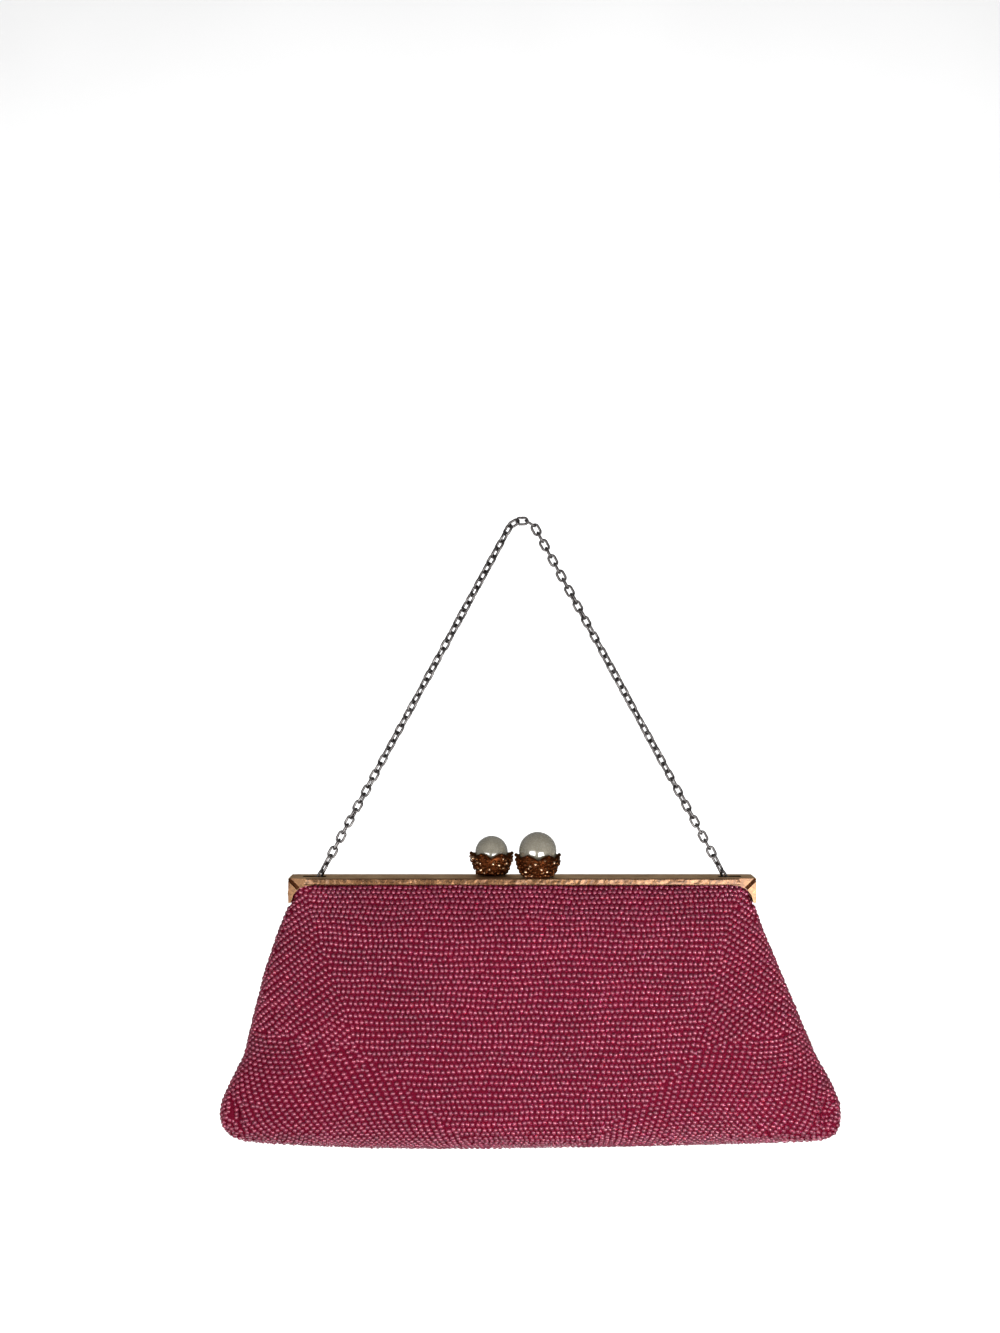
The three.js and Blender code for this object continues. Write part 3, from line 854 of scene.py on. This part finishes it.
def lip_band(toward, name):
    """The hammered face of a lip: a thin strip of small dents between the two corner webs."""
    shape = bmesh.new()
    bmesh.ops.create_grid(shape, x_segments=LIP_BAND_STEPS[0], y_segments=LIP_BAND_STEPS[1], size=0.5)
    size = Matrix.Diagonal((2 * LIP_BAND_HALF_LENGTH * MM, LIP_BAND_HEIGHT * MM, 1, 1))
    bmesh.ops.transform(shape, matrix=size, verts=shape.verts)
    bmesh.ops.rotate(shape, cent=(0, 0, 0), matrix=Matrix.Rotation(math.pi / 2, 3, "X"), verts=shape.verts)
    middle = Vector((0, -FRAME_HALF_DEPTH - LIP_BAND_STANDS_OUT, FRAME_TOP - LIP_HEIGHT / 2)) * MM
    bmesh.ops.translate(shape, vec=middle, verts=shape.verts)
    for vert in shape.verts:
        if not vert.is_boundary:
            spot = Vector((vert.co.x, 0, vert.co.z)) / MM
            dents = sum(noise.noise(spot * rate) for rate in LIP_DENTS_PER_MM)
            vert.co.y += LIP_DENT_DEPTH * dents * MM
        to_end = LIP_BAND_HALF_LENGTH - abs(vert.co.x) / MM
        vert.co.y += LIP_END_SINKS * max(0.0, 1 - to_end / LIP_END_LENGTH) ** 2 * MM
    rim = [edge for edge in shape.edges if edge.is_boundary]
    skirt = bmesh.ops.extrude_edge_only(shape, edges=rim)["geom"]
    bmesh.ops.translate(shape, vec=(0, LIP_SKIRT * MM, 0), verts=verts_in(skirt))
    if toward > 0:
        bmesh.ops.rotate(shape, cent=(0, 0, 0), matrix=Matrix.Rotation(math.pi, 3, "Z"), verts=shape.verts)
    soften(shape)
    piece_from(shape, name, lip_finish)


eased_copy("frame_front", "frame_half_front", FRAME_EASE)
eased_copy("frame_back", "frame_half_back", FRAME_EASE)
eased_copy("hinge_rivet_left", "rivet_left", RIVET_EASE)
eased_copy("hinge_rivet_right", "rivet_right", RIVET_EASE)
lip_band(-1, "lip_band_front")
lip_band(1, "lip_band_back")


# Kiss-lock clasp

CUP_OUTLINE = (
    # height, radius
    (0.3, 4.4), (0.7, 4.95), (1.4, 5.5), (2.4, 6.05), (3.5, 6.5), (4.8, 6.95), (6.2, 7.25), (7.5, 7.5),
)
# Room round the pearl in its seat, angles down the seat, and the petals of the rim
SEAT_ROOM = 0.2
SEAT_ANGLES = (60, 35, 0)
PETALS_FROM = 3.5
PETAL_FLARE, FLARE_MIDDLE = 0.03, 0.5
PETAL_RISE, RISE_MIDDLE = 1.6, 0.62


def petal_cup(pearl_radius, pearl_height, rim):
    """A thin bowl whose rim rises and leans out in petals, open at the top for the pearl."""
    seat = pearl_radius + SEAT_ROOM
    outside = [(height, radius * rim / CUP_OUTLINE[-1][1]) for height, radius in CUP_OUTLINE]
    floor, top = outside[0][0], outside[-1][0]
    inside = [(top, math.sqrt(seat ** 2 - (pearl_height - top) ** 2))]
    for angle in map(math.radians, SEAT_ANGLES):
        inside.append((pearl_height - seat * math.cos(angle), seat * math.sin(angle)))
    shape = turned([(floor, 0)] + outside + inside, 8 * CUP_PETALS)
    for vert in shape.verts:
        petal = abs(math.cos(CUP_PETALS * math.atan2(vert.co.y, vert.co.x) / 2))
        rise = max(0.0, (vert.co.z - PETALS_FROM) / (top - PETALS_FROM)) ** 2
        if math.hypot(vert.co.x, vert.co.y) > seat:
            flare = 1 + PETAL_FLARE * rise * (petal - FLARE_MIDDLE)
            vert.co.x *= flare
            vert.co.y *= flare
        vert.co.z += PETAL_RISE * rise * (petal - RISE_MIDDLE)
    return shape


RUBBED_GLINT_GRAINS = {
    # across and height of the brightest granules on the front of each cup, which are partly worn gilt and
    # partly painted glints
    "left": ((-6.4, 6.4), (-3.9, 4.8), (-3.7, 2.5), (-2.4, 1.5), (-0.7, 2.8),
             (0.6, 4.8), (2.6, 4.3), (4.1, 6.4), (5.2, 4.8)),
    "right": ((-4.2, 2.5), (-3.2, 3.8), (-2.2, 1.0), (-0.9, 5.3),
              (1.1, 3.5), (1.7, 2.3), (3.1, 2.6), (5.4, 5.6)),
}
BUMP_COUNT, BUMPS_APART, BUMP_SIZES = 130, 0.95, (0.4, 0.62)
GRAIN_COUNT, GRAINS_APART, GRAIN_SIZES = 90, 1.2, (0.4, 0.75)
GRAIN_HEIGHTS = (0.7, 6.6)
GRAIN_TRIES = 5000
GRAINS_STAND_OUT, RUBBED_GLINT_STAND_OUT = 0.2, 0.35
# Tones of the dark granules, and of the brightest ones, which are painted glints as well as worn gilt
DARK_TONES, RUBBED_GLINT_TONES = (0, 0.7), (0.85, 1)
KNOB_SIZES = (0.62, 0.7)
KNOB_INSET, KNOB_HEIGHT = 0.1, 7.75
PEARL_UNEVENNESS, PEARL_LUMPS_PER_MM = 0.006, 0.35


def cup_radius(height, rim):
    heights, radii = np.array(CUP_OUTLINE).T
    return np.interp(height, heights, radii) * rim / radii[-1]


def grain_spots(rim, count, apart):
    """Uneven places on the outside of a cup, none of them close to another."""
    spots = []
    for _ in range(GRAIN_TRIES):
        height, turn = cup_draw.uniform(*GRAIN_HEIGHTS), cup_draw.uniform(0, math.tau)
        out = cup_radius(height, rim)
        spot = np.array([out * math.cos(turn), out * math.sin(turn), height])
        if all(np.linalg.norm(spot - other) > apart for other in spots):
            spots.append(spot)
        if len(spots) == count:
            break
    return np.array(spots)


def rubbed_glint_spots(side, rim):
    """Places of the brightest granules, the painted glints, on the front of a cup, and the same again on its
    back.
    """
    across, height = np.array(RUBBED_GLINT_GRAINS[side]).T
    out = cup_radius(height, rim)
    depth = np.sqrt(np.maximum(out ** 2 - across ** 2, 0))
    return np.concatenate([np.stack([way * across, -way * depth, height], 1) for way in (1, -1)])


def small_ball():
    ball = bmesh.new()
    bmesh.ops.create_uvsphere(ball, u_segments=8, v_segments=6, radius=1)
    return ball


def grains(spots, centre, sizes, name, finish, tones=None):
    axes = np.eye(3)[None] * cup_draw.uniform(*sizes, len(spots))[:, None, None] * MM
    copies(small_ball(), (spots + np.array(centre)) * MM, axes, name, finish, tones)


def clasp(side, direction, pearl_radius, pearl_height, rim):
    x = CLASP_X + direction * CLASP_SPACING / 2
    centre = Vector((x, -direction * CLASP_OFFSET_Y, FRAME_TOP))
    to_place = Matrix.Scale(MM, 4) @ Matrix.Translation(centre)

    cup = petal_cup(pearl_radius, pearl_height, rim)
    bmesh.ops.transform(cup, matrix=to_place, verts=cup.verts)
    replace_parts(piece_from(cup, f"petal_cup_{side}", cup_finish), f"clasp_cup_{side}")

    bumps = grain_spots(rim, BUMP_COUNT, BUMPS_APART)
    grains(bumps, centre, BUMP_SIZES, f"cup_bumps_{side}", cup_finish)
    dark = grain_spots(rim + GRAINS_STAND_OUT, GRAIN_COUNT, GRAINS_APART)
    # The brightest granules are partly worn gilt and partly painted glints
    rubbed = rubbed_glint_spots(side, rim + RUBBED_GLINT_STAND_OUT)
    tones = [cup_draw.uniform(*DARK_TONES, len(dark)), cup_draw.uniform(*RUBBED_GLINT_TONES, len(rubbed))]
    grains(np.concatenate([dark, rubbed]), centre, GRAIN_SIZES, f"cup_grains_and_glints_{side}", grains_wear_and_glint_finish,
           np.concatenate(tones))
    turns = math.tau * np.arange(CUP_PETALS) / CUP_PETALS
    out = rim - KNOB_INSET
    tips = np.stack([out * np.cos(turns), out * np.sin(turns), np.full(CUP_PETALS, KNOB_HEIGHT)], 1)
    grains(tips, centre, KNOB_SIZES, f"rim_knobs_{side}", cup_finish)

    pearl = bmesh.new()
    bmesh.ops.create_uvsphere(pearl, u_segments=48, v_segments=28, radius=pearl_radius)
    for vert in pearl.verts:
        lump = noise.noise(vert.co * PEARL_LUMPS_PER_MM + Vector((direction * 9, 0, 0)))
        vert.co *= 1 + PEARL_UNEVENNESS * lump
    bmesh.ops.translate(pearl, vec=(0, 0, pearl_height), verts=pearl.verts)
    bmesh.ops.transform(pearl, matrix=to_place, verts=pearl.verts)
    soften(pearl)
    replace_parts(piece_from(pearl, f"round_pearl_{side}", pearls_finish), f"pearl_{side}")


for values in CLASPS:
    clasp(*values)


# Chain

def link_shape():
    """One oval link in the XZ plane, long in X: a ring of wire, parted in the middle."""
    shape = bmesh.new()
    bmesh.ops.create_circle(shape, segments=LINK_WIRE_SIDES, radius=LINK_WIRE / 2)
    bmesh.ops.translate(shape, vec=((LINK_WIDTH - LINK_WIRE) / 2, 0, 0), verts=shape.verts)
    half_step = Matrix.Rotation(math.pi / LINK_STEPS, 3, "Y")
    bmesh.ops.rotate(shape, cent=(0, 0, 0), matrix=half_step, verts=shape.verts)
    bmesh.ops.spin(shape, geom=shape.verts[:] + shape.edges[:], axis=(0, 1, 0), cent=(0, 0, 0),
                   angle=math.tau, steps=LINK_STEPS, use_merge=True)
    bmesh.ops.remove_doubles(shape, verts=shape.verts, dist=1e-5)
    for vert in shape.verts:
        vert.co.x += math.copysign((LINK_LENGTH - LINK_WIDTH) / 2, vert.co.x)
    bmesh.ops.recalc_face_normals(shape, faces=shape.faces)
    return shape


def chain_line():
    """Places along the chain, 0.1 mm apart or so, from the left lug over the top to the right lug."""
    bend_steps, strand_steps = 120, 1400
    reach_to = math.hypot(LUG_X, LUG_Z + TOP_BEND_RADIUS)
    leave = math.atan2(LUG_Z + TOP_BEND_RADIUS, LUG_X) + math.acos(TOP_BEND_RADIUS / reach_to)
    bend = np.linspace(math.pi - leave, leave, bend_steps)
    top = np.stack([TOP_BEND_RADIUS * np.cos(bend), TOP_BEND_RADIUS * (np.sin(bend) - 1)], 1)
    strand = np.linspace(0, 1, strand_steps)[:-1, None]
    left = np.array([-LUG_X, LUG_Z]) * (1 - strand) + top[0] * strand
    right = top[-1] * strand + np.array([LUG_X, LUG_Z]) * (1 - strand)
    return np.concatenate([left, top, right[::-1]])


def hang_chain():
    """Links along the chain's line, each turned a quarter from the one before it."""
    line = chain_line()
    along = length_along(line)
    end = LINK_LENGTH / 2 - LINK_WIRE - LUG_WIRE_RADIUS
    at = np.linspace(end, along[-1] - end, LINK_COUNT)
    reach_by = 0.5

    def on_line(where):
        x, z = (np.interp(where, along, values) for values in line.T)
        return np.stack([x, np.zeros(LINK_COUNT), z], 1)

    forwards = unit(on_line(at + reach_by) - on_line(at - reach_by))
    strand = np.minimum(at, along[-1] - at) / (along[-1] / 2)
    share = np.where(at < along[-1] / 2, np.interp(strand, *LEFT_TWIST), np.interp(strand, *RIGHT_TWIST))
    twist = STRAND_TWIST * share + draw.normal(0, LINK_WOBBLE, LINK_COUNT)
    for link, lean in FOOT_LINKS:
        twist[[link, -1 - link]] = lean
    turn = twist + (np.arange(LINK_COUNT) % 2) * math.pi / 2
    depth = np.array([0.0, 1.0, 0.0])
    beside = np.cross(forwards, depth)
    flat = np.cos(turn)[:, None] * beside + np.sin(turn)[:, None] * depth
    axes = np.stack([forwards, np.cross(flat, forwards), flat], axis=2)
    chain = copies(link_shape(), on_line(at) * MM, axes * MM, "chain_links", wire_finish)
    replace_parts(chain, "chain")


hang_chain()


# Studio: a pale floor that sweeps up behind, soft light and the camera

FLOOR_Z = -0.8
SWEEP_HALF_WIDTH, SWEEP_FRONT, SWEEP_BACK = 12, -4, 2
SWEEP_BEND, SWEEP_BEND_STEPS, SWEEP_WALL = 1, 20, 4


def sweep():
    """The stage: a floor that bends up into a wall behind the bag."""
    shape = bmesh.new()
    ends = [shape.verts.new((x, SWEEP_FRONT, FLOOR_Z)) for x in (-SWEEP_HALF_WIDTH, SWEEP_HALF_WIDTH)]
    floor = bmesh.ops.extrude_edge_only(shape, edges=[shape.edges.new(ends)])["geom"]
    line = verts_in(floor)
    bmesh.ops.translate(shape, vec=(0, SWEEP_BACK - SWEEP_FRONT, 0), verts=line)
    edge = [item for item in edges_in(floor) if all(vert in line for vert in item.verts)]
    centre = (0, SWEEP_BACK, FLOOR_Z + SWEEP_BEND)
    rise = bmesh.ops.spin(shape, geom=line + edge, axis=(1, 0, 0), cent=centre, angle=math.pi / 2,
                          steps=SWEEP_BEND_STEPS)["geom_last"]
    top = bmesh.ops.extrude_edge_only(shape, edges=edges_in(rise))["geom"]
    bmesh.ops.translate(shape, vec=(0, 0, SWEEP_WALL), verts=verts_in(top))
    soften(shape)
    mesh = bpy.data.meshes.new("studio_sweep")
    shape.to_mesh(mesh)
    shape.free()
    mesh.materials.append(floor_finish())
    stage = bpy.data.objects.new("studio_sweep", mesh)
    stage.visible_diffuse = stage.visible_glossy = False
    bpy.context.scene.collection.objects.link(stage)


def soft_light(name, place, size, watts, look_at=(0, 0, -0.16), mirrored_in_metal=True, spread=180):
    light = bpy.data.lights.new(name, "AREA")
    light.shape = "RECTANGLE"
    light.size, light.size_y = size
    light.energy = watts
    light.spread = math.radians(spread)
    lamp = bpy.data.objects.new(name, light)
    lamp.location = place
    lamp.rotation_euler = (Vector(look_at) - Vector(place)).to_track_quat("-Z", "Y").to_euler()
    lamp.visible_glossy = mirrored_in_metal
    lamp.visible_camera = False
    bpy.context.scene.collection.objects.link(lamp)


sweep()
soft_light("window_left", (-0.42, -0.62, -0.28), (0.5, 0.36), 4)
soft_light("window_right", (0.265, -0.75, -0.38), (0.45, 0.4), 6)
soft_light("key_right", (1.3, -1.4, 0.3), (1.4, 1.4), 17, mirrored_in_metal=False)
soft_light("glint_right", (0.42, -0.62, -0.42), (0.12, 0.12), 0.035, (0.085, -0.02, -0.19), spread=20)
soft_light("fill_high", (0.1, -2.4, 1.6), (3.2, 2), 30, mirrored_in_metal=False)
soft_light("window_back_left", (-0.24, 0.62, -0.58), (0.36, 0.3), 3)
soft_light("window_back_right", (0.24, 0.62, -0.58), (0.36, 0.3), 3)
soft_light("fill_back", (0.0, 2.4, 1.6), (2.4, 0.6), 55, mirrored_in_metal=False)
soft_light("backdrop_left", (-1.5, 0.9, 0.9), (0.8, 0.8), 26, (-0.3, 3.0, 0.1), mirrored_in_metal=False)
soft_light("backdrop_right", (1.5, 0.9, 0.9), (0.8, 0.8), 26, (0.3, 3.0, 0.1), mirrored_in_metal=False)
soft_light("floor_wash", (0.0, 1.0, 0.9), (1.6, 0.5), 20, (0.0, 2.4, -0.6), mirrored_in_metal=False)

world = bpy.data.worlds.new("pale_room")
world.use_nodes = True
world.node_tree.nodes["Background"].inputs["Color"].default_value = (1, 1, 1, 1)
world.node_tree.nodes["Background"].inputs["Strength"].default_value = 0.25
bpy.context.scene.world = world
bpy.context.scene.view_settings.view_transform = "Standard"

lens = bpy.data.cameras.new("camera")
lens.sensor_width = SENSOR
lens.lens = SENSOR * -CAMERA_PLACE[1] / PICTURE_HEIGHT
lens.clip_start = 0.01
camera = bpy.data.objects.new("camera", lens)
camera.location = Vector(CAMERA_PLACE) * MM
camera.rotation_euler = (math.pi / 2, 0, 0)
bpy.context.scene.collection.objects.link(camera)
bpy.context.scene.camera = camera
